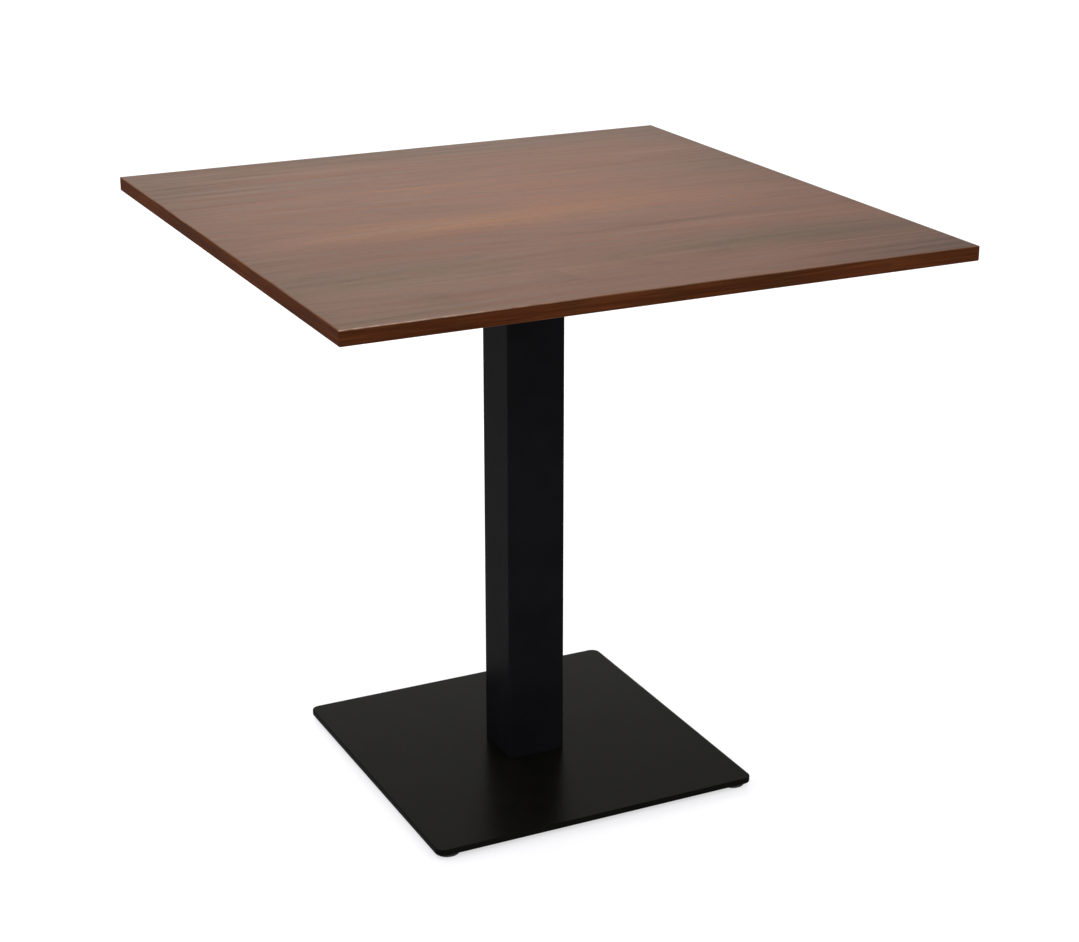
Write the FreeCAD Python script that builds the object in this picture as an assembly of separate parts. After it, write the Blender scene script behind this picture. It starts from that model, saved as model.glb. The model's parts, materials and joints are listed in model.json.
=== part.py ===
import FreeCAD, Part

import math
import os

# A square bistro table on one column: a laminated top with edging, a folded steel cross that
# carries it, a square tube, a flat base plate and four levelling feet that screw in and out.
# Millimetres, +Z up. The origin is on the floor, on the column's axis. The top's grain runs
# along X. The front is the -Y side, the left is the -X side.

# Whole table
TABLE_HEIGHT = 750.0

# Tabletop
TOP_SIDE = 800.0
TOP_THICKNESS = 18.0
LAMINATE_THICKNESS = 0.7
EDGING_THICKNESS = 2.0
EDGING_ARRIS = 1.5
TOP_CORNER_RADIUS = 2.0

# Column
COLUMN_SIDE = 80.0
COLUMN_WALL = 2.0
COLUMN_CORNER_RADIUS = 5.0
HEAD_PLATE_THICKNESS = 8.0
FOOT_PLATE_THICKNESS = 10.0
FOOT_PLATE_HOLE_FLOOR = 1.0
END_PLATE_CORNER_RADIUS = 4.0

# Base plate
BASE_SIDE = 450.0
BASE_THICKNESS = 8.0
BASE_CORNER_RADIUS = 12.0
BASE_ARRIS = 1.2
FLOOR_GAP = 5.5

# Mounting cross, folded from one sheet
CROSS_THICKNESS = 4.0
CROSS_CENTRE_SIDE = 124.0
CROSS_CENTRE_CORNER = 6.0
CROSS_REACH = 225.0
ARM_WIDTH = 36.0
FLANGE_START = 92.0
FLANGE_END = 188.0
FLANGE_HEIGHT = 18.0
FLANGE_BEND = 6.0

# Fasteners. A thread is drawn as rings at its pitch, from the crest radius to the root radius.
THREAD_CLEARANCE = 0.1
HOLE_CLEARANCE = 0.3
TABLETOP_SCREW = {"crest": 2.5, "root": 1.8, "pitch": 2.2, "length": 16.0}
TABLETOP_SCREW_REACHES = (125.0, 207.0)
TABLETOP_SCREW_TIP_ROOM = 0.5
PAN_HEAD_RADIUS = 4.8
PAN_HEAD_HEIGHT = 3.2
PAN_HEAD_DOME = ((2.6, 0.0), (4.1, 0.5), (4.8, 1.5))
CROSS_RECESS_SPAN = 5.0
CROSS_RECESS_WIDTH = 1.1
CROSS_RECESS_DEPTH = 1.8
CROSS_SCREW = {"crest": 3.0, "root": 2.45, "pitch": 1.0, "length": 12.0, "head": 6.0, "key": 4.0}
CROSS_SCREW_PITCH = 48.0
BASE_SCREW = {"crest": 4.0, "root": 3.25, "pitch": 1.25, "length": 16.0, "head": 8.0, "key": 5.0}
BASE_SCREW_PITCH = 44.0
HEAD_RIM = 0.4
HEAD_CLEARANCE = 0.1
HEAD_SUNK = 0.2
KEY_DEPTH_SHARE = 0.6

# Levelling feet
FOOT_INSET = 20.0
PAD_RADIUS = 16.0
PAD_HEIGHT = 5.2
PAD_ARRIS = 0.8
PAD_FLOOR = 1.8
PAD_GRIPS = 24
PAD_GRIP_RADIUS = 0.9
PAD_GRIP_CENTRES = 16.3
STEM = {"crest": 4.0, "root": 3.25, "pitch": 1.25}
STEM_ENGAGEMENT = 6.3
STEM_RUNNING_CLEARANCE = 0.05
FOOT_HOLE_DEPTH = 6.5

# How far a cutter runs past the face it opens, and how near counts as the same place
OVERCUT = 1.0
SAME_PLACE = 1e-6

# Levels worked out from the dimensions above
TOP_UNDERSIDE = TABLE_HEIGHT - TOP_THICKNESS
COLUMN_HEAD = TOP_UNDERSIDE - CROSS_THICKNESS
BASE_TOP = FLOOR_GAP + BASE_THICKNESS
FOOT_REACH = BASE_SIDE / 2 - FOOT_INSET

UP = FreeCAD.Vector(0, 0, 1)
CENTRE = FreeCAD.Vector(0, 0, 0)
CORNERS = {
    "front_left": (-1, -1),
    "front_right": (1, -1),
    "back_left": (-1, 1),
    "back_right": (1, 1),
}


def slab(side_x, side_y, low, high):
    """A box centred on the column's axis."""
    corner = FreeCAD.Vector(-side_x / 2, -side_y / 2, low)
    return Part.makeBox(side_x, side_y, high - low, corner)


def edges_along_z(shape):
    """The straight edges that run along Z."""
    return [e for e in shape.Edges if e.BoundBox.ZLength > SAME_PLACE > e.BoundBox.XLength]


def edges_at(shape, level):
    """The edges that lie in the horizontal plane at this level."""
    flat = [e for e in shape.Edges if e.BoundBox.ZLength < SAME_PLACE]
    return [e for e in flat if abs(e.BoundBox.ZMin - level) < SAME_PLACE]


def rounded_slab(side, low, high, corner_radius, arris_radius=0.0):
    """A square slab with rounded vertical corners and, if asked, softened horizontal edges."""
    block = slab(side, side, low, high)
    block = block.makeFillet(corner_radius, edges_along_z(block))
    if arris_radius:
        block = block.makeFillet(arris_radius, edges_at(block, low) + edges_at(block, high))
    return block


def cylinder(radius, low, high, x=0.0, y=0.0):
    return Part.makeCylinder(radius, high - low, FreeCAD.Vector(x, y, low), UP)


def turned(outline):
    """A solid turned about the Z axis from a closed outline of (radius, level) points."""
    points = [FreeCAD.Vector(radius, 0, level) for radius, level in outline]
    face = Part.Face(Part.makePolygon(points + points[:1]))
    return face.revolve(CENTRE, UP, 360)


def hexagon(width, low, high):
    """A hexagonal prism, width across flats, that stands on the Z axis."""
    radius = width / math.sqrt(3)
    angles = [math.radians(60 * i) for i in range(6)]
    points = [FreeCAD.Vector(radius * math.cos(a), radius * math.sin(a), low) for a in angles]
    face = Part.Face(Part.makePolygon(points + points[:1]))
    return face.extrude(FreeCAD.Vector(0, 0, high - low))


def thread_outline(thread, start, end):
    """Outline points up the side of a thread from level start to level end, crest first."""
    step = math.copysign(thread["pitch"], end - start)
    count = int(abs(end - start) / thread["pitch"])
    points = [(thread["crest"], start)]
    for turn in range(count):
        level = start + turn * step
        points.append((thread["root"], level + step / 2))
        points.append((thread["crest"], level + step))
    return points


def at_corners(shape, reach):
    """Copies of a shape at the four corners of a square, as one compound."""
    places = [FreeCAD.Vector(sx * reach, sy * reach, 0) for sx, sy in CORNERS.values()]
    return Part.makeCompound([moved(shape, place) for place in places])


def moved(shape, place):
    copy = shape.copy()
    copy.translate(place)
    return copy


def round_the_column(shape, first_angle):
    """Four copies of a shape, a quarter turn apart about the Z axis."""
    copies = []
    for quarter in range(4):
        copy = shape.copy()
        copy.rotate(CENTRE, UP, first_angle + 90 * quarter)
        copies.append(copy)
    return copies


def fused(shapes):
    return shapes[0].multiFuse(shapes[1:]).removeSplitter()


# Tabletop -----------------------------------------------------------------------------------


def tabletop_screw_holes():
    """Where the wood screws' threads have cut, from the underside into the core."""
    hole_radius = TABLETOP_SCREW["crest"] + THREAD_CLEARANCE
    low = TOP_UNDERSIDE - OVERCUT
    high = COLUMN_HEAD + TABLETOP_SCREW["length"] + TABLETOP_SCREW_TIP_ROOM
    holes = [cylinder(hole_radius, low, high, x=reach) for reach in TABLETOP_SCREW_REACHES]
    return Part.makeCompound(round_the_column(Part.makeCompound(holes), 45))


def tabletop():
    """The core, its two laminates and the four strips of edging."""
    panel_side = TOP_SIDE - 2 * EDGING_THICKNESS
    core_low = TOP_UNDERSIDE + LAMINATE_THICKNESS
    core_high = TABLE_HEIGHT - LAMINATE_THICKNESS
    holes = tabletop_screw_holes()
    pieces = {
        "tabletop_core": slab(panel_side, panel_side, core_low, core_high).cut(holes),
        "top_laminate": slab(panel_side, panel_side, core_high, TABLE_HEIGHT),
        "underside_laminate": slab(panel_side, panel_side, TOP_UNDERSIDE, core_low).cut(holes),
    }
    pieces.update(edging(panel_side))
    return pieces


def edging(panel_side):
    """Four strips round the panel. The front and back strips run on past the side strips' ends."""
    block = rounded_slab(TOP_SIDE, TOP_UNDERSIDE, TABLE_HEIGHT, TOP_CORNER_RADIUS, EDGING_ARRIS)
    low = TOP_UNDERSIDE - OVERCUT
    high = TABLE_HEIGHT + OVERCUT
    ring = block.cut(slab(panel_side, panel_side, low, high))
    half = panel_side / 2
    height = high - low
    long_strip = Part.makeBox(TOP_SIDE, EDGING_THICKNESS, height)
    short_strip = Part.makeBox(EDGING_THICKNESS, panel_side, height)
    places = {
        "edge_band_front": (long_strip, -TOP_SIDE / 2, -TOP_SIDE / 2),
        "edge_band_back": (long_strip, -TOP_SIDE / 2, half),
        "edge_band_left": (short_strip, -TOP_SIDE / 2, -half),
        "edge_band_right": (short_strip, half, -half),
    }
    strips = {}
    for name, (strip, x, y) in places.items():
        strips[name] = ring.common(moved(strip, FreeCAD.Vector(x, y, low)))
    return strips


# Mounting cross -----------------------------------------------------------------------------


def flange():
    """One folded-down flange, as it lies along an arm that points along +X."""
    inner_bend = FLANGE_BEND - CROSS_THICKNESS
    edge = ARM_WIDTH / 2
    bend_level = TOP_UNDERSIDE - FLANGE_BEND
    foot_level = TOP_UNDERSIDE - FLANGE_HEIGHT

    def point(y, z):
        return FreeCAD.Vector(FLANGE_START, y, z)

    def bend_middle(radius):
        return point(edge + radius * math.sin(math.pi / 4), bend_level + radius * math.cos(math.pi / 4))

    outer_start = point(edge, TOP_UNDERSIDE)
    outer_end = point(edge + FLANGE_BEND, bend_level)
    inner_start = point(edge + inner_bend, bend_level)
    inner_end = point(edge, COLUMN_HEAD)
    outer_foot = point(edge + FLANGE_BEND, foot_level)
    inner_foot = point(edge + inner_bend, foot_level)
    outline = [
        Part.Arc(outer_start, bend_middle(FLANGE_BEND), outer_end).toShape(),
        Part.makeLine(outer_end, outer_foot),
        Part.makeLine(outer_foot, inner_foot),
        Part.makeLine(inner_foot, inner_start),
        Part.Arc(inner_start, bend_middle(inner_bend), inner_end).toShape(),
        Part.makeLine(inner_end, outer_start),
    ]
    return Part.Face(Part.Wire(outline)).extrude(FreeCAD.Vector(FLANGE_END - FLANGE_START, 0, 0))


def cross_arm():
    """One arm along +X: a flat strip with a round tip and a flange on each side."""
    tip_centre = CROSS_REACH - ARM_WIDTH / 2
    strip = Part.makeBox(
        tip_centre, ARM_WIDTH, CROSS_THICKNESS, FreeCAD.Vector(0, -ARM_WIDTH / 2, COLUMN_HEAD)
    )
    tip = cylinder(ARM_WIDTH / 2, COLUMN_HEAD, TOP_UNDERSIDE, x=tip_centre)
    near = flange()
    far = near.mirror(CENTRE, FreeCAD.Vector(0, 1, 0))
    return fused([strip, tip, near, far])


def mounting_cross():
    """The centre plate with four arms towards the tabletop's corners, and its screw holes."""
    centre = rounded_slab(CROSS_CENTRE_SIDE, COLUMN_HEAD, TOP_UNDERSIDE, CROSS_CENTRE_CORNER)
    body = fused([centre] + round_the_column(cross_arm(), 45))
    hole_radius = TABLETOP_SCREW["crest"] + HOLE_CLEARANCE
    low = COLUMN_HEAD - OVERCUT
    high = TOP_UNDERSIDE + OVERCUT
    holes = [cylinder(hole_radius, low, high, x=reach) for reach in TABLETOP_SCREW_REACHES]
    sunk = countersink(CROSS_SCREW, CROSS_THICKNESS + OVERCUT)
    sunk.rotate(CENTRE, FreeCAD.Vector(1, 0, 0), 180)
    sunk.translate(FreeCAD.Vector(0, 0, TOP_UNDERSIDE))
    for cutter in round_the_column(Part.makeCompound(holes), 45):
        body = body.cut(cutter)
    return body.cut(at_corners(sunk, CROSS_SCREW_PITCH / 2))


# Countersunk screws -------------------------------------------------------------------------


def countersink(screw, depth):
    """The cutter for a countersunk hole: its mouth is at level 0 and it runs up the Z axis."""
    mouth = screw["head"] + HEAD_RIM + HEAD_CLEARANCE + HEAD_SUNK
    hole = screw["crest"] + HOLE_CLEARANCE
    outline = [(0, -OVERCUT), (mouth, -OVERCUT), (mouth, 0), (hole, mouth - hole)]
    outline += [(hole, depth), (0, depth)]
    return turned(outline)


def countersunk_screw(screw):
    """A countersunk screw with a hexagonal socket. Its head's face is at level 0, its tip is up."""
    neck = HEAD_RIM + screw["head"] - screw["crest"]
    tip_taper = screw["crest"] - screw["root"]
    outline = [(0, 0), (screw["head"], 0), (screw["head"], HEAD_RIM)]
    outline += thread_outline(screw, neck, screw["length"] - tip_taper)
    outline += [(screw["root"], screw["length"]), (0, screw["length"])]
    socket = hexagon(screw["key"], -OVERCUT, KEY_DEPTH_SHARE * screw["key"])
    return turned(outline).cut(socket)


def cross_screws():
    """Four screws through the cross into the head plate, heads up and just below the top face."""
    screw = countersunk_screw(CROSS_SCREW)
    screw.rotate(CENTRE, FreeCAD.Vector(1, 0, 0), 180)
    screw.translate(FreeCAD.Vector(0, 0, TOP_UNDERSIDE - HEAD_SUNK))
    return at_corners(screw, CROSS_SCREW_PITCH / 2)


def base_screws():
    """Four screws up through the base plate into the foot plate."""
    screw = countersunk_screw(BASE_SCREW)
    screw.translate(FreeCAD.Vector(0, 0, FLOOR_GAP + HEAD_SUNK))
    return at_corners(screw, BASE_SCREW_PITCH / 2)


def tabletop_screw():
    """A pan-head wood screw under the cross, with a cross recess in its domed head."""
    head_low = COLUMN_HEAD - PAN_HEAD_HEIGHT
    tip = COLUMN_HEAD + TABLETOP_SCREW["length"]
    shoulder = tip - 2 * TABLETOP_SCREW["pitch"]
    outline = [(0, head_low)]
    outline += [(radius, head_low + rise) for radius, rise in PAN_HEAD_DOME]
    outline += [(PAN_HEAD_RADIUS, COLUMN_HEAD)]
    outline += thread_outline(TABLETOP_SCREW, COLUMN_HEAD, shoulder)
    outline += [(0, tip)]
    low = head_low - OVERCUT
    high = head_low + CROSS_RECESS_DEPTH
    recess = slab(CROSS_RECESS_SPAN, CROSS_RECESS_WIDTH, low, high)
    recess = recess.fuse(slab(CROSS_RECESS_WIDTH, CROSS_RECESS_SPAN, low, high))
    return turned(outline).cut(recess)


def tabletop_screws():
    """Two wood screws along each arm of the cross."""
    screws = [moved(tabletop_screw(), FreeCAD.Vector(reach, 0, 0)) for reach in TABLETOP_SCREW_REACHES]
    arms = round_the_column(Part.makeCompound(screws), 45)
    return Part.makeCompound([solid for arm in arms for solid in arm.Solids])


# Column and base ----------------------------------------------------------------------------


def column_tube():
    inner_side = COLUMN_SIDE - 2 * COLUMN_WALL
    inner_radius = COLUMN_CORNER_RADIUS - COLUMN_WALL
    outside = rounded_slab(COLUMN_SIDE, BASE_TOP, COLUMN_HEAD, COLUMN_CORNER_RADIUS)
    inside = rounded_slab(inner_side, BASE_TOP - OVERCUT, COLUMN_HEAD + OVERCUT, inner_radius)
    return outside.cut(inside)


def end_plate(low, high):
    """A plate that closes one end of the tube. Its corners clear the tube's inside corners."""
    return rounded_slab(COLUMN_SIDE - 2 * COLUMN_WALL, low, high, END_PLATE_CORNER_RADIUS)


def column_head_plate():
    """The plate at the top of the tube, with a tapped hole right through for each cross screw."""
    low = COLUMN_HEAD - HEAD_PLATE_THICKNESS
    hole_radius = CROSS_SCREW["crest"] + THREAD_CLEARANCE
    hole = cylinder(hole_radius, low - OVERCUT, COLUMN_HEAD + OVERCUT)
    return end_plate(low, COLUMN_HEAD).cut(at_corners(hole, CROSS_SCREW_PITCH / 2))


def column_foot_plate():
    """The plate at the foot of the tube, with a blind tapped hole for each base screw."""
    high = BASE_TOP + FOOT_PLATE_THICKNESS
    hole_radius = BASE_SCREW["crest"] + THREAD_CLEARANCE
    hole = cylinder(hole_radius, BASE_TOP - OVERCUT, high - FOOT_PLATE_HOLE_FLOOR)
    return end_plate(BASE_TOP, high).cut(at_corners(hole, BASE_SCREW_PITCH / 2))


def base_plate():
    """A square plate, countersunk from beneath for the column and tapped blind for the feet."""
    plate = rounded_slab(BASE_SIDE, FLOOR_GAP, BASE_TOP, BASE_CORNER_RADIUS, BASE_ARRIS)
    sunk = countersink(BASE_SCREW, BASE_THICKNESS + OVERCUT)
    sunk.translate(FreeCAD.Vector(0, 0, FLOOR_GAP))
    plate = plate.cut(at_corners(sunk, BASE_SCREW_PITCH / 2))
    hole_radius = STEM["crest"] + THREAD_CLEARANCE
    hole = cylinder(hole_radius, FLOOR_GAP - OVERCUT, FLOOR_GAP + FOOT_HOLE_DEPTH)
    return plate.cut(at_corners(hole, FOOT_REACH))


# Levelling feet -----------------------------------------------------------------------------


def foot_stem():
    """The steel stem of a foot. Its lower end sits in the pad, its upper end in the base plate."""
    low = PAD_FLOOR + THREAD_CLEARANCE
    high = FLOOR_GAP + STEM_ENGAGEMENT
    taper = STEM["crest"] - STEM["root"]
    outline = [(0, low)] + thread_outline(STEM, low, high - taper)
    outline += [(STEM["root"], high), (0, high)]
    return turned(outline)


def foot_pad():
    """The moulded pad of a foot, with finger grips round its rim."""
    bore = STEM["crest"] + STEM_RUNNING_CLEARANCE
    outline = [(0, 0), (PAD_RADIUS - PAD_ARRIS, 0), (PAD_RADIUS, PAD_ARRIS)]
    outline += [(PAD_RADIUS, PAD_HEIGHT - PAD_ARRIS), (PAD_RADIUS - PAD_ARRIS, PAD_HEIGHT)]
    outline += [(bore, PAD_HEIGHT), (bore, PAD_FLOOR), (0, PAD_FLOOR)]
    grips = []
    for index in range(PAD_GRIPS):
        angle = 2 * math.pi * index / PAD_GRIPS
        x = PAD_GRIP_CENTRES * math.cos(angle)
        y = PAD_GRIP_CENTRES * math.sin(angle)
        grips.append(cylinder(PAD_GRIP_RADIUS, -OVERCUT, PAD_HEIGHT + OVERCUT, x=x, y=y))
    return turned(outline).cut(Part.makeCompound(grips))


def levelling_feet():
    pieces = {}
    for corner, (sx, sy) in CORNERS.items():
        place = FreeCAD.Vector(sx * FOOT_REACH, sy * FOOT_REACH, 0)
        pieces["foot_stem_" + corner] = moved(foot_stem(), place)
        pieces["foot_pad_" + corner] = moved(foot_pad(), place)
    return pieces


def table():
    pieces = tabletop()
    pieces["mounting_cross"] = mounting_cross()
    pieces["tabletop_screws"] = tabletop_screws()
    pieces["cross_screws"] = cross_screws()
    pieces["column_tube"] = column_tube()
    pieces["column_head_plate"] = column_head_plate()
    pieces["column_foot_plate"] = column_foot_plate()
    pieces["base_plate"] = base_plate()
    pieces["base_screws"] = base_screws()
    pieces.update(levelling_feet())
    return pieces


os.makedirs("parts", exist_ok=True)
for name, shape in table().items():
    shape.exportStep("parts/" + name + ".step")
    print(name, "solids", len(shape.Solids), "valid", shape.isValid(), "cm3", round(shape.Volume / 1000, 2))
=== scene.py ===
# Looks of a square bistro table: a walnut-look laminated top, a black powder-coated column and
# base plate, and four levelling feet. Metres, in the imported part's frame: +Z up, the origin on
# the floor under the column, the top's grain along X, the front on the -Y side.
import json
import math

import bmesh
import bpy
from mathutils import Matrix, Vector


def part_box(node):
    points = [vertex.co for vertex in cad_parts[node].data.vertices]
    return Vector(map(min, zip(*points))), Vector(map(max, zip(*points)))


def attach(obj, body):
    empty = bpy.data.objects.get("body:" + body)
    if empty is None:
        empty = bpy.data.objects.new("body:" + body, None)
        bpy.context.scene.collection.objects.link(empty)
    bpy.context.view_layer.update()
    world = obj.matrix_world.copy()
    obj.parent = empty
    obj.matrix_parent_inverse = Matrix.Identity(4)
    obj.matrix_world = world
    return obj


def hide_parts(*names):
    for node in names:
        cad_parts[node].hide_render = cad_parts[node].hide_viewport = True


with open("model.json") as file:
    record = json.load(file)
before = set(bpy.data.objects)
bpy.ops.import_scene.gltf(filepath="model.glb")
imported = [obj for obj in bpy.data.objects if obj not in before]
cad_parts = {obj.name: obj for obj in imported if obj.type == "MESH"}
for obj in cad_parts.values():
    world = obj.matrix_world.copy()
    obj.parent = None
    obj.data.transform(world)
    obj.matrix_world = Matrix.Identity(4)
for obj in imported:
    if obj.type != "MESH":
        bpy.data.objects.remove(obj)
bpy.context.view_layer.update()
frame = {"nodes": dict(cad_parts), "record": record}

MM = 0.001
FRAME_BODY = "table_frame"
CORNERS = {
    "front_left": (-1, -1),
    "front_right": (1, -1),
    "back_left": (-1, 1),
    "back_right": (1, 1),
}

# Camera: its place, how far it turns right and looks down in degrees, and its lens in mm
CAMERA_PLACE = (-1.1721, -2.4508, 1.3931)
CAMERA_YAW = 25.99
CAMERA_PITCH = 20.02
CAMERA_LENS = 74.34
SENSOR_WIDTH = 36.0
CAMERA_REACH = 100.0

# Sky: its brightness at the horizon, and from SKY_TOP (the sine of the elevation) upwards
SKY_COLOUR = (0.975, 0.985, 1.04, 1.0)
SKY_LOW = 1.03
SKY_HIGH = 1.4
SKY_TOP = 0.8

# Bright panel behind the table: full brightness within the middle angle, none past the edge.
# Less than 1 in the stretch's last figure makes it tall.
PANEL_COLOUR = (1.0, 0.975, 0.83, 1.0)
PANEL_LIGHT = 3.6
PANEL_DIRECTION = Vector((0.37, 0.93, 0.54))
PANEL_STRETCH = Vector((1.0, 1.0, 0.6))
PANEL_MIDDLE = math.radians(3)
PANEL_EDGE = math.radians(20)

# Key light and floor
KEY_PLACE = (-0.6, 0.9, 2.5)
KEY_SIDE = 1.4
KEY_POWER = 26.0
FLOOR_SIDE = 40.0
FLOOR_WHITE = 0.4
FLOOR_GLOW = 0.6

# Tabletop edging
EDGING_ARRIS = 1.5 * MM
TOP_CORNER = 2.0 * MM
JOINT_GAP = 0.1 * MM

# Pan-head wood screws, and how far from the column's axis they sit along each arm
PAN_HEAD_RADIUS = 4.8 * MM
PAN_HEAD_HEIGHT = 3.2 * MM
PAN_HEAD_FLAT = 1.4 * MM
PAN_HEAD_ROUND = 1.9 * MM
RECESS_SPAN = 5.0 * MM
RECESS_WIDTH = 1.1 * MM
RECESS_DEPTH = 1.8 * MM
WOOD_SCREW_CREST = 2.5 * MM
WOOD_SCREW_ROOT = 1.8 * MM
WOOD_SCREW_PITCH = 2.2 * MM
WOOD_SCREW_REACHES = (125.0 * MM, 207.0 * MM)

# Column tube
COLUMN_CORNER = 5.0 * MM
COLUMN_WALL = 2.0 * MM
COLUMN_ARRIS = 0.4 * MM

# Base plate, with its countersunk screw holes and a blind hole over each foot
BASE_CORNER = 12.0 * MM
BASE_ARRIS = 1.2 * MM
BASE_SCREW_REACH = 22.0 * MM
BASE_SCREW_HOLE = 4.3 * MM
COUNTERSINK_MOUTH = 8.7 * MM
FOOT_HOLE_RADIUS = 4.1 * MM
FOOT_HOLE_DEPTH = 6.5 * MM

# Foot pads: the moulded ring beneath as (radius, rise) points from the middle outward
PAD_RING = (
    (0.0, 0.0),
    (9.0 * MM, 0.0),
    (9.4 * MM, 0.5 * MM),
    (11.6 * MM, 0.5 * MM),
    (12.0 * MM, 0.0),
)
PAD_ARRIS = 0.8 * MM
PAD_GRIPS = 24
PAD_GRIP_DEPTH = 0.6 * MM
STEM_BORE = 4.05 * MM
STEM_SOCKET_DEPTH = 3.4 * MM

# Mesh fineness
ARC_STEPS = 12
ARRIS_STEPS = 6
ROUND_STEPS = 96
SCREW_STEPS = 48
DOME_STEPS = 10
STEPS_PER_GRIP = 8
SMOOTH_ANGLE = math.radians(32)
FLAT_FACE_WEIGHT = 100
MERGE = 1e-6
OVERCUT = 1.0 * MM


# Mesh tools -----------------------------------------------------------------------------------


def circle(radius, level, centre=(0.0, 0.0), steps=ROUND_STEPS):
    angles = [2 * math.pi * i / steps for i in range(steps)]
    x, y = centre
    return [Vector((x + radius * math.cos(a), y + radius * math.sin(a), level)) for a in angles]


def rounded_square(half, radius, level):
    """A loop round a square with round corners, anticlockwise seen from above."""
    inner = half - radius
    points = []
    for quarter, (sx, sy) in enumerate(((1, 1), (-1, 1), (-1, -1), (1, -1))):
        for step in range(ARC_STEPS + 1):
            angle = math.pi / 2 * (quarter + step / ARC_STEPS)
            x = sx * inner + radius * math.cos(angle)
            y = sy * inner + radius * math.sin(angle)
            points.append(Vector((x, y, level)))
    return points


def edge_profile(low, high, arris):
    """(inset, level) points up an edge that is rounded over at its bottom and its top."""
    points = []
    for centre, start in ((low + arris, -90), (high - arris, 0)):
        for step in range(ARRIS_STEPS + 1):
            angle = math.radians(start + 90 * step / ARRIS_STEPS)
            points.append((arris * (1 - math.cos(angle)), centre + arris * math.sin(angle)))
    return points


def square_sides(half, corner, low, high, arris):
    """Loops up the outside of a square bar with round corners and rounded-over ends."""
    return [
        rounded_square(half - inset, corner - inset, level)
        for inset, level in edge_profile(low, high, arris)
    ]


def linked(name, mesh):
    """The scene's new object with a finished bmesh."""
    data = bpy.data.meshes.new(name)
    mesh.to_mesh(data)
    mesh.free()
    piece = bpy.data.objects.new(name, data)
    bpy.context.scene.collection.objects.link(piece)
    return piece


def skin(name, loops, closed=False):
    """A mesh through loops of equal length, capped at its ends, or joined end to end if closed."""
    mesh = bmesh.new()
    rings = [[mesh.verts.new(point) for point in loop] for loop in loops]
    pairs = list(zip(rings, rings[1:]))
    if closed:
        pairs.append((rings[-1], rings[0]))
    else:
        mesh.faces.new(list(reversed(rings[0])))
        mesh.faces.new(rings[-1])
    for first, second in pairs:
        for i in range(len(first)):
            j = (i + 1) % len(first)
            mesh.faces.new((first[i], first[j], second[j], second[i]))
    bmesh.ops.remove_doubles(mesh, verts=mesh.verts, dist=MERGE)
    bmesh.ops.recalc_face_normals(mesh, faces=mesh.faces)
    return linked(name, mesh)


def turned(name, outline, centre=(0.0, 0.0), steps=ROUND_STEPS):
    """A solid turned about a vertical axis, from (radius, level) points that start and end on it."""
    return skin(name, [circle(radius, level, centre, steps) for radius, level in outline])


def cut(piece, cutter):
    """Takes the cutter's shape out of the piece, and deletes the cutter."""
    modifier = piece.modifiers.new("cut", "BOOLEAN")
    modifier.operation = "DIFFERENCE"
    modifier.solver = "EXACT"
    modifier.object = cutter
    shape = piece.evaluated_get(bpy.context.evaluated_depsgraph_get())
    data = bpy.data.meshes.new_from_object(shape)
    piece.modifiers.remove(modifier)
    piece.data = data
    bpy.data.objects.remove(cutter)


def joined(name, pieces):
    """One object with the meshes of several, which are deleted."""
    mesh = bmesh.new()
    for piece in pieces:
        mesh.from_mesh(piece.data)
        bpy.data.objects.remove(piece)
    return linked(name, mesh)


def smoothed(piece):
    """Smooth shading on round stretches only, with flat faces kept flat."""
    piece.data.shade_smooth()
    piece.data.set_sharp_from_angle(angle=SMOOTH_ANGLE)
    modifier = piece.modifiers.new("flat_faces", "WEIGHTED_NORMAL")
    modifier.keep_sharp = True
    modifier.weight = FLAT_FACE_WEIGHT
    return piece


# Node tools -----------------------------------------------------------------------------------


class Graph:
    """Adds and links the nodes of one node tree."""

    def __init__(self, tree):
        self.tree = tree

    def add(self, kind, inputs=None, **settings):
        """A new node, with its settings, and its inputs fed by name or number."""
        node = self.tree.nodes.new(kind)
        for name, value in settings.items():
            setattr(node, name, value)
        for name, value in (inputs or {}).items():
            self.feed(node.inputs[name], value)
        return node

    def feed(self, socket, value):
        """Links a socket to the input, or gives it a fixed value."""
        if isinstance(value, bpy.types.NodeSocket):
            self.tree.links.new(value, socket)
        else:
            socket.default_value = value

    def vector(self, operation, first, second=(0.0, 0.0, 0.0), output="Vector"):
        node = self.add("ShaderNodeVectorMath", {0: first, 1: second}, operation=operation)
        return node.outputs[output]

    def spread(self, amount, low, high, new_low, new_high, **settings):
        """Maps low..high to new_low..new_high, held at the ends."""
        inputs = {"Value": amount, "From Min": low, "From Max": high}
        inputs.update({"To Min": new_low, "To Max": new_high})
        return self.add("ShaderNodeMapRange", inputs, **settings).outputs["Result"]


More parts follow.
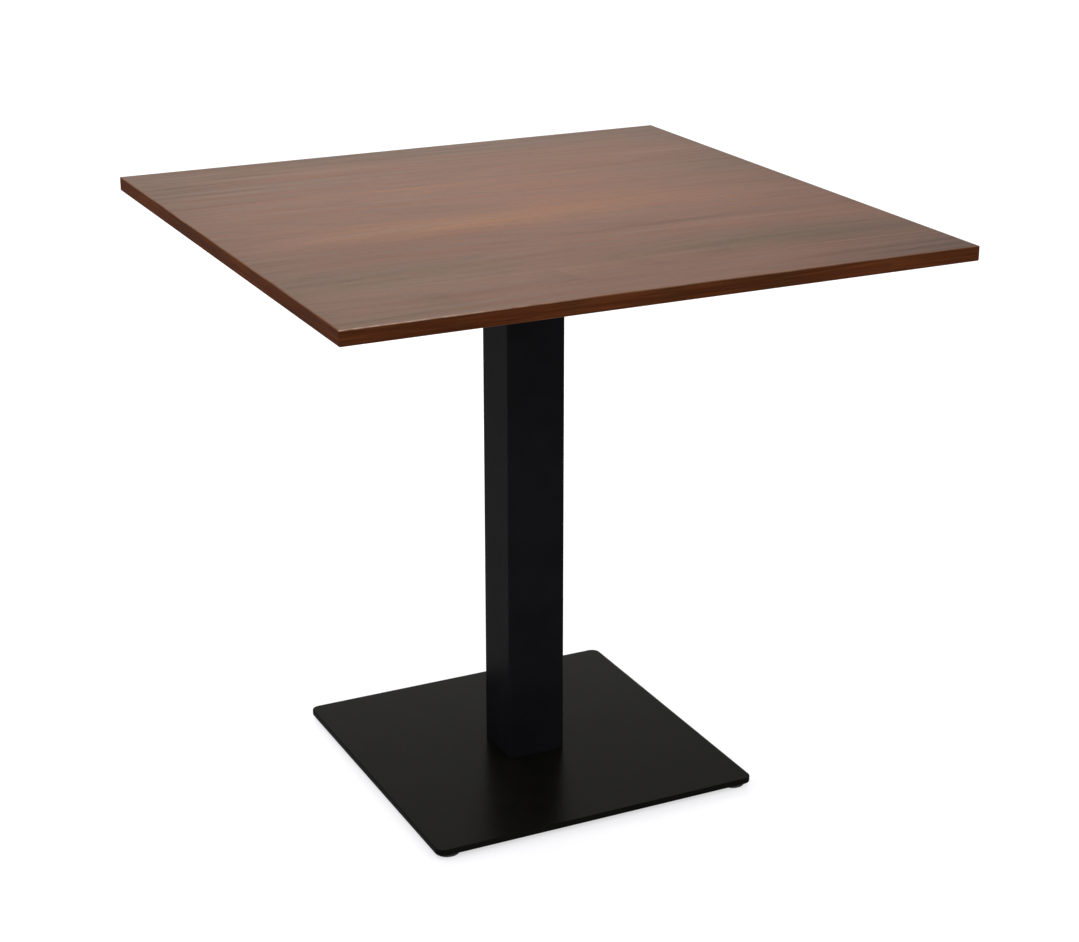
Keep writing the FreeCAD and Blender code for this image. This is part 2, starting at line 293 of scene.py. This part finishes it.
class Recipe(Graph):
    """Builds one node material around a Principled shader."""

    def __init__(self, name):
        self.material = bpy.data.materials.new(name)
        self.material.use_nodes = True
        super().__init__(self.material.node_tree)
        self.shader = self.tree.nodes["Principled BSDF"]
        self.place = self.add("ShaderNodeTexCoord").outputs["Object"]

    def finish(self, **inputs):
        """Feeds the shader's inputs, whose names are given with underscores for spaces."""
        for name, value in inputs.items():
            self.feed(self.shader.inputs[name.replace("_", " ")], value)
        return self.material

    def grey(self, value):
        inputs = {"Red": value, "Green": value, "Blue": value}
        return self.add("ShaderNodeCombineColor", inputs).outputs["Color"]

    def math(self, operation, first, second=0.0, clamp=False):
        node = self.add("ShaderNodeMath", {0: first, 1: second}, operation=operation)
        node.use_clamp = clamp
        return node.outputs[0]

    def product(self, *factors):
        result = factors[0]
        for factor in factors[1:]:
            result = self.math("MULTIPLY", result, factor)
        return result

    def noise(self, vector, scale=1.0, detail=2.0, roughness=0.5, output="Fac"):
        inputs = {"Vector": vector, "Scale": scale, "Detail": detail, "Roughness": roughness}
        return self.add("ShaderNodeTexNoise", inputs).outputs[output]

    def grain(self, place, along, across, detail=2.0, roughness=0.5, output="Fac"):
        """Noise at so many cycles a metre along X and across it, and SLICE in depth."""
        stretched = self.vector("MULTIPLY", place, (along, across, SLICE))
        return self.noise(stretched, 1.0, detail, roughness, output)

    def vary(self, noise, new_low, new_high):
        """Maps a noise's usual range to new_low..new_high."""
        return self.spread(noise, NOISE_LOW, NOISE_HIGH, new_low, new_high)

    def ramp(self, amount, stops):
        """Colours between (position, (red, green, blue)) stops."""
        node = self.add("ShaderNodeValToRGB", {"Fac": amount})
        elements = node.color_ramp.elements
        while len(elements) < len(stops):
            elements.new(1.0)
        for element, (position, colour) in zip(elements, stops):
            element.position = position
            element.color = (*colour, 1.0)
        return node.outputs["Color"]

    def mix(self, amount, first, second, mode="MIX"):
        """Mixes colours: the second covers the first by the amount."""
        node = self.add("ShaderNodeMix", data_type="RGBA", blend_type=mode)
        sockets = [s for s in node.inputs if s.enabled]
        for socket, value in zip(sockets, (amount, first, second)):
            self.feed(socket, value)
        return [s for s in node.outputs if s.enabled][0]

    def shaded(self, colour, shade):
        """The colour times a grey shade."""
        return self.mix(1.0, colour, self.grey(shade), "MULTIPLY")

    def bump(self, height, depth, strength=1.0):
        inputs = {"Height": height, "Distance": depth, "Strength": strength}
        return self.add("ShaderNodeBump", inputs).outputs["Normal"]


def tone(red, green, blue):
    return (red, green, blue, 1.0)


# Materials ------------------------------------------------------------------------------------

# A noise's usual range and the middle of its colour, and a grain's cycles a metre in depth,
# which makes the two laminates different slices of one pattern
NOISE_LOW = 0.3
NOISE_HIGH = 0.7
NOISE_MIDDLE = (0.5, 0.5, 0.5)
SLICE = 100.0

# Walnut decor: base colours from dark to light, the pores' colour, how far the grain wanders
# across its line, and the growth lines in one cycle of their noise
DECOR_RAMP = (
    (0.30, (0.074, 0.0272, 0.0136)),
    (0.45, (0.086, 0.0317, 0.0159)),
    (0.57, (0.096, 0.0356, 0.0177)),
    (0.72, (0.108, 0.0404, 0.0199)),
)
DECOR_PORE = tone(0.024, 0.0085, 0.0038)
DECOR_WANDER = 0.030
RINGS_ACROSS = 15.0

# Patches over the decor: centre x, centre y, reach x, reach y, strength, colour. Most are painted
# shade
# and painted sheen: darker towards the edges and the front right corner, lighter through the middle.
# The two thinnest are streaks of the decor.
WALNUT_SHADE_SHEEN_AND_STREAKS = (
    (-0.10, -0.03, 0.24, 0.055, 0.48, tone(0.190, 0.066, 0.012)),
    (0.12, 0.00, 0.20, 0.070, 0.34, tone(0.170, 0.058, 0.018)),
    (0.22, -0.26, 0.34, 0.060, 0.70, tone(0.056, 0.030, 0.012)),
    (-0.27, -0.25, 0.28, 0.100, 0.50, tone(0.060, 0.034, 0.015)),
    (-0.36, -0.37, 0.20, 0.060, 0.50, tone(0.060, 0.031, 0.014)),
    (0.40, -0.38, 0.26, 0.180, 0.75, tone(0.034, 0.015, 0.007)),
    (0.33, 0.12, 0.18, 0.080, 0.50, tone(0.058, 0.030, 0.013)),
    (0.42, 0.20, 0.12, 0.400, 0.50, tone(0.050, 0.020, 0.008)),
    (0.05, 0.41, 0.80, 0.120, 0.75, tone(0.050, 0.023, 0.010)),
    (0.00, 0.03, 0.42, 0.280, 0.40, tone(0.128, 0.0465, 0.0210)),
    (-0.38, 0.30, 0.20, 0.180, 0.60, tone(0.046, 0.018, 0.007)),
    (-0.43, -0.05, 0.10, 0.500, 0.50, tone(0.056, 0.022, 0.009)),
    (0.15, -0.14, 0.35, 0.014, 0.55, tone(0.060, 0.020, 0.007)),
    (-0.05, 0.17, 0.40, 0.012, 0.30, tone(0.150, 0.056, 0.021)),
)

# Walnut edging: base colours, then its darker patches, pores and light lines
EDGING_RAMP = (
    (0.30, (0.039, 0.0100, 0.0030)),
    (0.50, (0.055, 0.0144, 0.0042)),
    (0.70, (0.079, 0.0223, 0.0068)),
)
EDGING_PATCH = tone(0.038, 0.0145, 0.0045)
EDGING_PORE = tone(0.028, 0.0080, 0.0030)
EDGING_LINE = tone(0.21, 0.08, 0.03)

# Its arrises are lighter near the upper and lower faces, partly scraped and partly a painted
# highlight. The front strip's upper arris also carries a pale painted glint, over a stretch from the
# table's left edge and a depth from its front face. Each fades from full at the first distance to
# none at the second.
EDGING_SCRAPED_AND_HIGHLIGHT = tone(0.15, 0.078, 0.042)
EDGING_PAINTED_GLINT = tone(0.38, 0.26, 0.19)
ARRIS_SCRAPE_HIGHLIGHT_FULL = 0.2 * MM
ARRIS_SCRAPE_HIGHLIGHT_NONE = 1.2 * MM
GLINT_STRETCH_FULL = 100.0 * MM
GLINT_STRETCH_NONE = 300.0 * MM
GLINT_DEPTH_FULL = 2.0 * MM
GLINT_DEPTH_NONE = 3.0 * MM

CHIPBOARD_RAMP = (
    (0.05, (0.50, 0.34, 0.19)),
    (0.40, (0.40, 0.26, 0.14)),
    (0.80, (0.25, 0.15, 0.08)),
)

# Powder coat: base colours, a painted cast that makes the column brighter and bluer than the base
# plate, standing in for the light each reflects, and the grit's painted glint
COAT_RAMP = (
    (0.30, (0.0034, 0.0033, 0.0028)),
    (0.70, (0.0048, 0.0046, 0.0039)),
)
COLUMN_PAINTED_CAST = tone(1.36, 1.38, 1.80)
COAT_PAINTED_GLINT = tone(0.012, 0.012, 0.012)
PAINTED_CAST_FADE = 0.2 * MM

ZINC_RAMP = (
    (0.30, (0.50, 0.51, 0.53)),
    (0.70, (0.66, 0.67, 0.68)),
)
NYLON_RAMP = (
    (0.35, (0.008, 0.008, 0.008)),
    (0.75, (0.016, 0.016, 0.015)),
)


def walnut_laminate():
    """A printed walnut decor: growth lines, soft bands and streaks along X, pores, and patches of
    painted shade and painted sheen.
    """
    recipe = Recipe("walnut_laminate")
    top_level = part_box("top_laminate")[1].z
    place = recipe.vector("SUBTRACT", recipe.place, (0.0, 0.0, top_level))
    wander = recipe.grain(place, 2.2, 4.0, output="Color")
    wander = recipe.vector("SUBTRACT", wander, NOISE_MIDDLE)
    wander = recipe.vector("MULTIPLY", wander, (0.0, DECOR_WANDER, 0.0))
    place = recipe.vector("ADD", place, wander)

    bands = recipe.grain(place, 1.1, 12.0, detail=3.0)
    streaks = recipe.grain(place, 2.6, 75.0, detail=5.0, roughness=0.65)
    slivers = recipe.grain(place, 6.5, 290.0, detail=3.0, roughness=0.7)
    fibres = recipe.grain(place, 18.0, 900.0, detail=3.0, roughness=0.6)
    dashes = recipe.grain(place, 70.0, 1900.0, detail=1.0)
    rings = recipe.product(recipe.grain(place, 0.9, 7.0, detail=1.0), RINGS_ACROSS)
    rings = recipe.math("ADD", rings, recipe.product(streaks, 0.5))
    rings = recipe.math("POWER", recipe.math("FRACT", rings), 3.0)

    colour = recipe.ramp(bands, DECOR_RAMP)
    ragged = recipe.spread(streaks, 0.36, 0.62, 0.35, 1.5)
    # Patches of painted shade and painted sheen, and two streaks of the decor, over the decor's
    # colour
    for x, y, reach_x, reach_y, strength, shade_sheen_and_streak_tone in WALNUT_SHADE_SHEEN_AND_STREAKS:
        offset = recipe.vector("SUBTRACT", place, (x, y, 0.0))
        offset = recipe.vector("MULTIPLY", offset, (1 / reach_x, 1 / reach_y, 0.0))
        distance = recipe.vector("LENGTH", offset, output="Value")
        cover = recipe.spread(distance, 0.1, 1.0, strength, 0.0)
        cover = recipe.math("MULTIPLY", cover, ragged, clamp=True)
        colour = recipe.mix(cover, colour, shade_sheen_and_streak_tone)
    shade = recipe.product(
        recipe.vary(streaks, 0.90, 1.10),
        recipe.spread(rings, 0.0, 1.0, 1.02, 0.88),
        recipe.vary(slivers, 0.87, 1.13),
        recipe.vary(fibres, 0.84, 1.16),
    )
    colour = recipe.shaded(colour, shade)
    pores = recipe.spread(dashes, 0.60, 0.68, 0.0, 1.0)
    pores = recipe.product(pores, recipe.spread(slivers, 0.40, 0.60, 0.25, 0.85))
    colour = recipe.mix(pores, colour, DECOR_PORE)
    height = recipe.math("SUBTRACT", recipe.product(fibres, 0.5), pores)
    return recipe.finish(
        Base_Color=colour,
        Roughness=recipe.vary(streaks, 0.52, 0.62),
        Normal=recipe.bump(height, 0.03 * MM, 0.5),
        Specular_IOR_Level=0.056,
    )


def walnut_edging():
    """Printed edging: fine streaks along each strip, and arrises lighter, partly scraped and partly
    painted highlight.

    The front strip's upper arris has a pale painted glint towards its left end.
    """
    recipe = Recipe("walnut_edging")
    low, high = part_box("edge_band_front")
    x, y, z = recipe.add("ShaderNodeSeparateXYZ", {0: recipe.place}).outputs
    along = recipe.math("ADD", x, y)
    place = recipe.add("ShaderNodeCombineXYZ", {0: along, 1: z, 2: 0.0}).outputs[0]

    bands = recipe.grain(place, 5.0, 140.0, detail=3.0)
    streaks = recipe.grain(place, 11.0, 480.0, detail=4.0, roughness=0.65)
    fibres = recipe.grain(place, 22.0, 1500.0, detail=3.0, roughness=0.6)
    patches = recipe.grain(place, 9.0, 0.0, detail=3.0)
    glint_breakup = recipe.grain(place, 60.0, 500.0, detail=4.0)

    colour = recipe.ramp(bands, EDGING_RAMP)
    colour = recipe.mix(recipe.spread(patches, 0.45, 0.70, 0.0, 0.6), colour, EDGING_PATCH)
    colour = recipe.shaded(colour, recipe.vary(streaks, 0.68, 1.32))
    colour = recipe.mix(recipe.spread(fibres, 0.54, 0.70, 0.0, 0.65), colour, EDGING_PORE)
    colour = recipe.mix(recipe.spread(fibres, 0.28, 0.42, 0.18, 0.0), colour, EDGING_LINE)

    above = recipe.spread(z, high.z - ARRIS_SCRAPE_HIGHLIGHT_NONE, high.z - ARRIS_SCRAPE_HIGHLIGHT_FULL, 0.0, 1.0)
    below = recipe.spread(z, low.z + ARRIS_SCRAPE_HIGHLIGHT_FULL, low.z + ARRIS_SCRAPE_HIGHLIGHT_NONE, 1.0, 0.0)
    arrises = recipe.math("MAXIMUM", above, below)
    # Lighter arrises near both faces: partly scraped, partly painted highlight
    scraped_and_highlight = recipe.product(arrises, recipe.vary(patches, 0.15, 0.75))
    colour = recipe.mix(scraped_and_highlight, colour, EDGING_SCRAPED_AND_HIGHLIGHT)
    # Pale painted glint along the front strip's upper arris, fading from the table's left edge
    painted_glint = recipe.product(
        above,
        recipe.spread(x, low.x + GLINT_STRETCH_NONE, low.x + GLINT_STRETCH_FULL, 0.0, 0.8),
        recipe.spread(y, low.y + GLINT_DEPTH_NONE, low.y + GLINT_DEPTH_FULL, 0.0, 1.0),
        recipe.spread(glint_breakup, 0.35, 0.60, 0.35, 1.0),
    )
    colour = recipe.mix(painted_glint, colour, EDGING_PAINTED_GLINT)
    roughness = recipe.vary(bands, 0.70, 0.80)
    return recipe.finish(
        Base_Color=colour,
        Roughness=recipe.math("SUBTRACT", roughness, recipe.product(scraped_and_highlight, 0.3)),
        Normal=recipe.bump(fibres, 0.015 * MM, 0.5),
        Specular_IOR_Level=0.02,
    )


def chipboard():
    """Raw chipboard: pale flakes of several sizes."""
    recipe = Recipe("chipboard")
    flakes = recipe.add("ShaderNodeTexVoronoi", {"Vector": recipe.place, "Scale": 420.0})
    dust = recipe.noise(recipe.place, scale=900.0, detail=3.0)
    amount = recipe.product(flakes.outputs["Distance"], recipe.math("ADD", dust, 0.5))
    return recipe.finish(
        Base_Color=recipe.ramp(amount, CHIPBOARD_RAMP),
        Roughness=recipe.vary(dust, 0.8, 0.95),
        Normal=recipe.bump(amount, 0.2 * MM),
    )


def black_powder_coat():
    """Fine-texture black powder coat with faint mottling, and a painted cast that makes the column
    brighter and bluer than the warmer base plate.
    """
    recipe = Recipe("black_powder_coat")
    level = recipe.add("ShaderNodeSeparateXYZ", {0: recipe.place}).outputs["Z"]
    base_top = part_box("base_plate")[1].z
    above_base = recipe.spread(level, base_top, base_top + PAINTED_CAST_FADE, 0.0, 1.0)
    grit = recipe.noise(recipe.place, scale=1300.0, detail=3.0, roughness=0.6)
    mottle = recipe.noise(recipe.place, scale=14.0, detail=4.0)
    colour = recipe.ramp(mottle, COAT_RAMP)
    # Painted cast: the column above the base plate is made brighter and bluer, for the light it
    # reflects
    column_with_painted_cast = recipe.mix(1.0, colour, COLUMN_PAINTED_CAST, "MULTIPLY")
    colour = recipe.mix(above_base, colour, column_with_painted_cast)
    # Painted glint: pale specks where the grit noise is high
    colour = recipe.mix(recipe.spread(grit, 0.62, 0.80, 0.0, 0.5), colour, COAT_PAINTED_GLINT)
    roughness = recipe.vary(grit, 0.20, 0.30)
    return recipe.finish(
        Base_Color=colour,
        Roughness=recipe.math("ADD", roughness, recipe.vary(mottle, 0.0, 0.06)),
        Normal=recipe.bump(grit, 0.03 * MM, 0.6),
        Specular_IOR_Level=0.0042,
    )


def zinc_steel():
    """Zinc-plated steel with a slightly clouded, finely scratched face."""
    recipe = Recipe("zinc_steel")
    cloud = recipe.noise(recipe.place, scale=160.0, detail=4.0)
    stretched = recipe.vector("MULTIPLY", recipe.place, (400.0, 3000.0, 400.0))
    scratches = recipe.noise(stretched, detail=2.0)
    return recipe.finish(
        Base_Color=recipe.ramp(cloud, ZINC_RAMP),
        Metallic=1.0,
        Roughness=recipe.vary(scratches, 0.26, 0.46),
        Normal=recipe.bump(scratches, 0.01 * MM, 0.4),
    )


def black_nylon():
    """Moulded black nylon with a fine spark-eroded grain."""
    recipe = Recipe("black_nylon")
    texture = recipe.noise(recipe.place, scale=2200.0, detail=2.0)
    scuffs = recipe.noise(recipe.place, scale=90.0, detail=4.0)
    return recipe.finish(
        Base_Color=recipe.ramp(scuffs, NYLON_RAMP),
        Roughness=recipe.vary(scuffs, 0.48, 0.62),
        Normal=recipe.bump(texture, 0.02 * MM, 0.6),
        Specular_IOR_Level=0.3,
    )


MATERIALS = {
    "walnut_laminate": walnut_laminate(),
    "walnut_edging": walnut_edging(),
    "chipboard": chipboard(),
    "black_powder_coat": black_powder_coat(),
    "zinc_steel": zinc_steel(),
    "black_nylon": black_nylon(),
}


# Pieces ---------------------------------------------------------------------------------------


def finish_piece(piece, body, slot, *nodes):
    """Gives a new piece its material and its body, and hides the CAD nodes that it stands for."""
    piece.data.materials.clear()
    piece.data.materials.append(MATERIALS[slot])
    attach(piece, body)
    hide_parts(*nodes)


def strip_section(outer, normal, inner, low, high):
    """One cross-section of an edging strip, as a closed loop."""
    loop = [Vector((*inner, low))]
    for inset, level in edge_profile(low, high, EDGING_ARRIS):
        x = outer[0] - normal[0] * inset
        y = outer[1] - normal[1] * inset
        loop.append(Vector((x, y, level)))
    loop.append(Vector((*inner, high)))
    return loop


def end_arc(centre_x, centre_y, start, low, high):
    """Cross-sections round a quarter of a strip's rounded end, from a start angle in degrees."""
    sections = []
    for step in range(ARC_STEPS + 1):
        angle = math.radians(start + 90 * step / ARC_STEPS)
        normal = (math.cos(angle), math.sin(angle))
        outer = (centre_x + TOP_CORNER * normal[0], centre_y + TOP_CORNER * normal[1])
        sections.append(strip_section(outer, normal, (centre_x, centre_y), low, high))
    return sections


def edging_strip(side, sections):
    piece = smoothed(skin("edging_" + side, sections))
    finish_piece(piece, FRAME_BODY, "walnut_edging", "edge_band_" + side)


def edging_strips():
    """Long strips on the front and back, rounded at both ends, and short ones between them."""
    low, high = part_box("edge_band_front")
    half = high.x
    inner = half - (high.y - low.y)
    for side, sign in (("front", -1), ("back", 1)):
        first = 180 if sign < 0 else 0
        sections = end_arc(sign * inner, sign * inner, first, low.z, high.z)
        sections += end_arc(-sign * inner, sign * inner, first + 90, low.z, high.z)
        edging_strip(side, sections)
    for side, sign in (("left", -1), ("right", 1)):
        outer = sign * half
        normal = (sign, 0)
        sections = [
            strip_section((outer, y), normal, (sign * inner, y), low.z, high.z)
            for y in (-(inner - JOINT_GAP), inner - JOINT_GAP)
        ]
        edging_strip(side, sections)


def screw_outline(low, high):
    """(radius, level) points of a pan-head screw: domed head below, ridged shank above."""
    outline = [(0, low)]
    for step in range(DOME_STEPS + 1):
        turn = math.radians(90 * step / DOME_STEPS)
        radius = PAN_HEAD_FLAT + (PAN_HEAD_RADIUS - PAN_HEAD_FLAT) * math.sin(turn)
        outline.append((radius, low + PAN_HEAD_ROUND * (1 - math.cos(turn))))
    level = low + PAN_HEAD_HEIGHT
    outline.append((PAN_HEAD_RADIUS, level))
    while level + WOOD_SCREW_PITCH < high - WOOD_SCREW_PITCH:
        outline.append((WOOD_SCREW_ROOT, level))
        outline.append((WOOD_SCREW_CREST, level + WOOD_SCREW_PITCH / 2))
        level += WOOD_SCREW_PITCH
    outline += [(WOOD_SCREW_ROOT, level), (0, high)]
    return outline


def recess_bar(across, along, low):
    """One bar of a cross recess, from half its sides, cut up into a screw's head."""
    corners = ((-across, -along), (across, -along), (across, along), (-across, along))
    levels = (low - OVERCUT, low + RECESS_DEPTH)
    return skin("cutter", [[Vector((*corner, level)) for corner in corners] for level in levels])


def wood_screw(reach, angle):
    """A wood screw at a distance from the column's axis, in the direction of an angle."""
    low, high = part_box("tabletop_screws")
    screw = turned("screw", screw_outline(low.z, high.z), steps=SCREW_STEPS)
    sides = (RECESS_SPAN / 2, RECESS_WIDTH / 2)
    for across, along in (sides, sides[::-1]):
        cut(screw, recess_bar(across, along, low.z))
    screw.data.transform(Matrix.Rotation(angle, 4, "Z") @ Matrix.Translation((reach, 0, 0)))
    return screw


def wood_screws():
    """Two wood screws along each diagonal arm of the cross."""
    screws = []
    for quarter in range(4):
        angle = math.pi / 2 * (quarter + 0.5)
        screws += [wood_screw(reach, angle) for reach in WOOD_SCREW_REACHES]
    piece = smoothed(joined("wood_screws", screws))
    finish_piece(piece, FRAME_BODY, "zinc_steel", "tabletop_screws")


def column():
    """A square tube with round corners and lightly eased ends."""
    low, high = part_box("column_tube")
    half = high.x
    loops = square_sides(half, COLUMN_CORNER, low.z, high.z, COLUMN_ARRIS)
    inner = half - COLUMN_WALL
    inner_corner = COLUMN_CORNER - COLUMN_WALL
    loops.append(rounded_square(inner, inner_corner, high.z))
    loops.append(rounded_square(inner, inner_corner, low.z))
    piece = smoothed(skin("column", loops, closed=True))
    finish_piece(piece, FRAME_BODY, "black_powder_coat", "column_tube")


def countersunk_hole(low, high):
    """(radius, level) points of a screw hole through the base, countersunk from beneath."""
    return (
        (0, low - OVERCUT),
        (COUNTERSINK_MOUTH, low - OVERCUT),
        (COUNTERSINK_MOUTH, low),
        (BASE_SCREW_HOLE, low + COUNTERSINK_MOUTH - BASE_SCREW_HOLE),
        (BASE_SCREW_HOLE, high + OVERCUT),
        (0, high + OVERCUT),
    )


def blind_foot_hole(low):
    """(radius, level) points of the hole over a foot."""
    return (
        (0, low - OVERCUT),
        (FOOT_HOLE_RADIUS, low - OVERCUT),
        (FOOT_HOLE_RADIUS, low + FOOT_HOLE_DEPTH),
        (0, low + FOOT_HOLE_DEPTH),
    )


def pad_centre(corner):
    low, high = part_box("foot_pad_" + corner)
    return ((low.x + high.x) / 2, (low.y + high.y) / 2)


def base():
    """The flat base plate, countersunk from beneath, with a blind hole over each foot."""
    low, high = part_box("base_plate")
    piece = skin("base", square_sides(high.x, BASE_CORNER, low.z, high.z, BASE_ARRIS))
    for corner, (sx, sy) in CORNERS.items():
        screw = (sx * BASE_SCREW_REACH, sy * BASE_SCREW_REACH)
        cut(piece, turned("cutter", countersunk_hole(low.z, high.z), screw))
        cut(piece, turned("cutter", blind_foot_hole(low.z), pad_centre(corner)))
    smoothed(piece)
    finish_piece(piece, FRAME_BODY, "black_powder_coat", "base_plate")


def fluted(radius, depth, level, centre):
    """A loop round a pad, with finger grips of a depth, or a plain circle at no depth."""
    loop = []
    for point in circle(1.0, level, steps=STEPS_PER_GRIP * PAD_GRIPS):
        angle = math.atan2(point.y, point.x)
        reach = radius - depth * max(0.0, math.cos(PAD_GRIPS * angle)) ** 2
        loop.append(Vector((centre[0] + reach * point.x, centre[1] + reach * point.y, level)))
    return loop


def foot_pads():
    """Moulded pads with a ring beneath, finger grips round the rim and a socket for the stem."""
    for corner in CORNERS:
        body = "foot_pad_" + corner
        low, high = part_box(body)
        centre = pad_centre(corner)
        radius = (high.x - low.x) / 2
        socket_floor = high.z - STEM_SOCKET_DEPTH
        loops = [fluted(reach, 0.0, low.z + rise, centre) for reach, rise in PAD_RING]
        for inset, level in edge_profile(low.z, high.z, PAD_ARRIS):
            loops.append(fluted(radius - inset, PAD_GRIP_DEPTH, level, centre))
        loops.append(fluted(STEM_BORE, 0.0, high.z, centre))
        loops.append(fluted(STEM_BORE, 0.0, socket_floor, centre))
        loops.append(fluted(0.0, 0.0, socket_floor, centre))
        piece = smoothed(skin("pad_" + corner, loops))
        finish_piece(piece, body, "black_nylon", body)


def carried_over_nodes():
    """The CAD nodes that stay, each with its slot's material."""
    slots = {entry["node"]: entry["material_slot"] for entry in frame["record"]["subparts"]}
    for name, node in frame["nodes"].items():
        node.data.materials.clear()
        node.data.materials.append(MATERIALS[slots[name]])


edging_strips()
wood_screws()
column()
base()
foot_pads()
carried_over_nodes()


# Stage ----------------------------------------------------------------------------------------


def floor_material():
    """Matt white with a glow, and clear from beneath, so that it hides nothing."""
    recipe = Recipe("floor")
    recipe.finish(
        Base_Color=tone(FLOOR_WHITE, FLOOR_WHITE, FLOOR_WHITE),
        Roughness=1.0,
        Specular_IOR_Level=0.0,
        Emission_Color=tone(1.0, 1.0, 1.0),
        Emission_Strength=FLOOR_GLOW,
    )
    underside = recipe.add("ShaderNodeNewGeometry").outputs["Backfacing"]
    clear = recipe.add("ShaderNodeBsdfTransparent").outputs[0]
    white = recipe.shader.outputs[0]
    both = recipe.add("ShaderNodeMixShader", {0: underside, 1: white, 2: clear}).outputs[0]
    output = recipe.tree.nodes["Material Output"]
    recipe.feed(output.inputs["Surface"], both)
    return recipe.material


def stage():
    """A flat floor at the feet, far wider than the view."""
    half = FLOOR_SIDE / 2
    mesh = bmesh.new()
    corners = ((-half, -half), (half, -half), (half, half), (-half, half))
    mesh.faces.new([mesh.verts.new((x, y, 0.0)) for x, y in corners])
    floor = linked("floor", mesh)
    floor.data.materials.append(floor_material())


def lighting():
    """A white sky, brighter overhead, with one tall bright panel behind the table."""
    world = bpy.data.worlds.new("studio")
    world.use_nodes = True
    world.node_tree.nodes.clear()
    graph = Graph(world.node_tree)
    direction = graph.add("ShaderNodeTexCoord").outputs["Generated"]
    height = graph.add("ShaderNodeSeparateXYZ", {0: direction}).outputs["Z"]
    sky_light = graph.spread(height, 0.0, SKY_TOP, SKY_LOW, SKY_HIGH)
    sky = graph.add("ShaderNodeBackground", {"Color": SKY_COLOUR, "Strength": sky_light})
    middle = (PANEL_DIRECTION * PANEL_STRETCH).normalized()
    stretched = graph.vector("MULTIPLY", direction, PANEL_STRETCH)
    stretched = graph.vector("NORMALIZE", stretched)
    facing = graph.vector("DOT_PRODUCT", stretched, middle, output="Value")
    panel_light = graph.spread(
        facing,
        math.cos(PANEL_EDGE),
        math.cos(PANEL_MIDDLE),
        0.0,
        PANEL_LIGHT,
        interpolation_type="SMOOTHSTEP",
    )
    panel = graph.add("ShaderNodeBackground", {"Color": PANEL_COLOUR, "Strength": panel_light})
    both = graph.add("ShaderNodeAddShader", {0: sky.outputs[0], 1: panel.outputs[0]})
    graph.add("ShaderNodeOutputWorld", {"Surface": both.outputs[0]})
    bpy.context.scene.world = world


def key_light():
    """One large soft light above the left back of the table, aimed at the origin."""
    data = bpy.data.lights.new("key", "AREA")
    data.shape = "SQUARE"
    data.size = KEY_SIDE
    data.energy = KEY_POWER
    light = bpy.data.objects.new("key", data)
    light.location = KEY_PLACE
    light.rotation_euler = Vector(KEY_PLACE).to_track_quat("Z", "Y").to_euler()
    light.visible_camera = False
    bpy.context.scene.collection.objects.link(light)


def camera():
    """The view from the front left, from a little above the top."""
    data = bpy.data.cameras.new("camera")
    data.lens = CAMERA_LENS
    data.sensor_width = SENSOR_WIDTH
    data.sensor_fit = "HORIZONTAL"
    data.clip_end = CAMERA_REACH
    eye = bpy.data.objects.new("camera", data)
    eye.location = CAMERA_PLACE
    eye.rotation_euler = (math.radians(90 - CAMERA_PITCH), 0.0, math.radians(-CAMERA_YAW))
    bpy.context.scene.collection.objects.link(eye)
    bpy.context.scene.camera = eye


stage()
lighting()
key_light()
camera()
bpy.context.scene.view_settings.view_transform = "Standard"
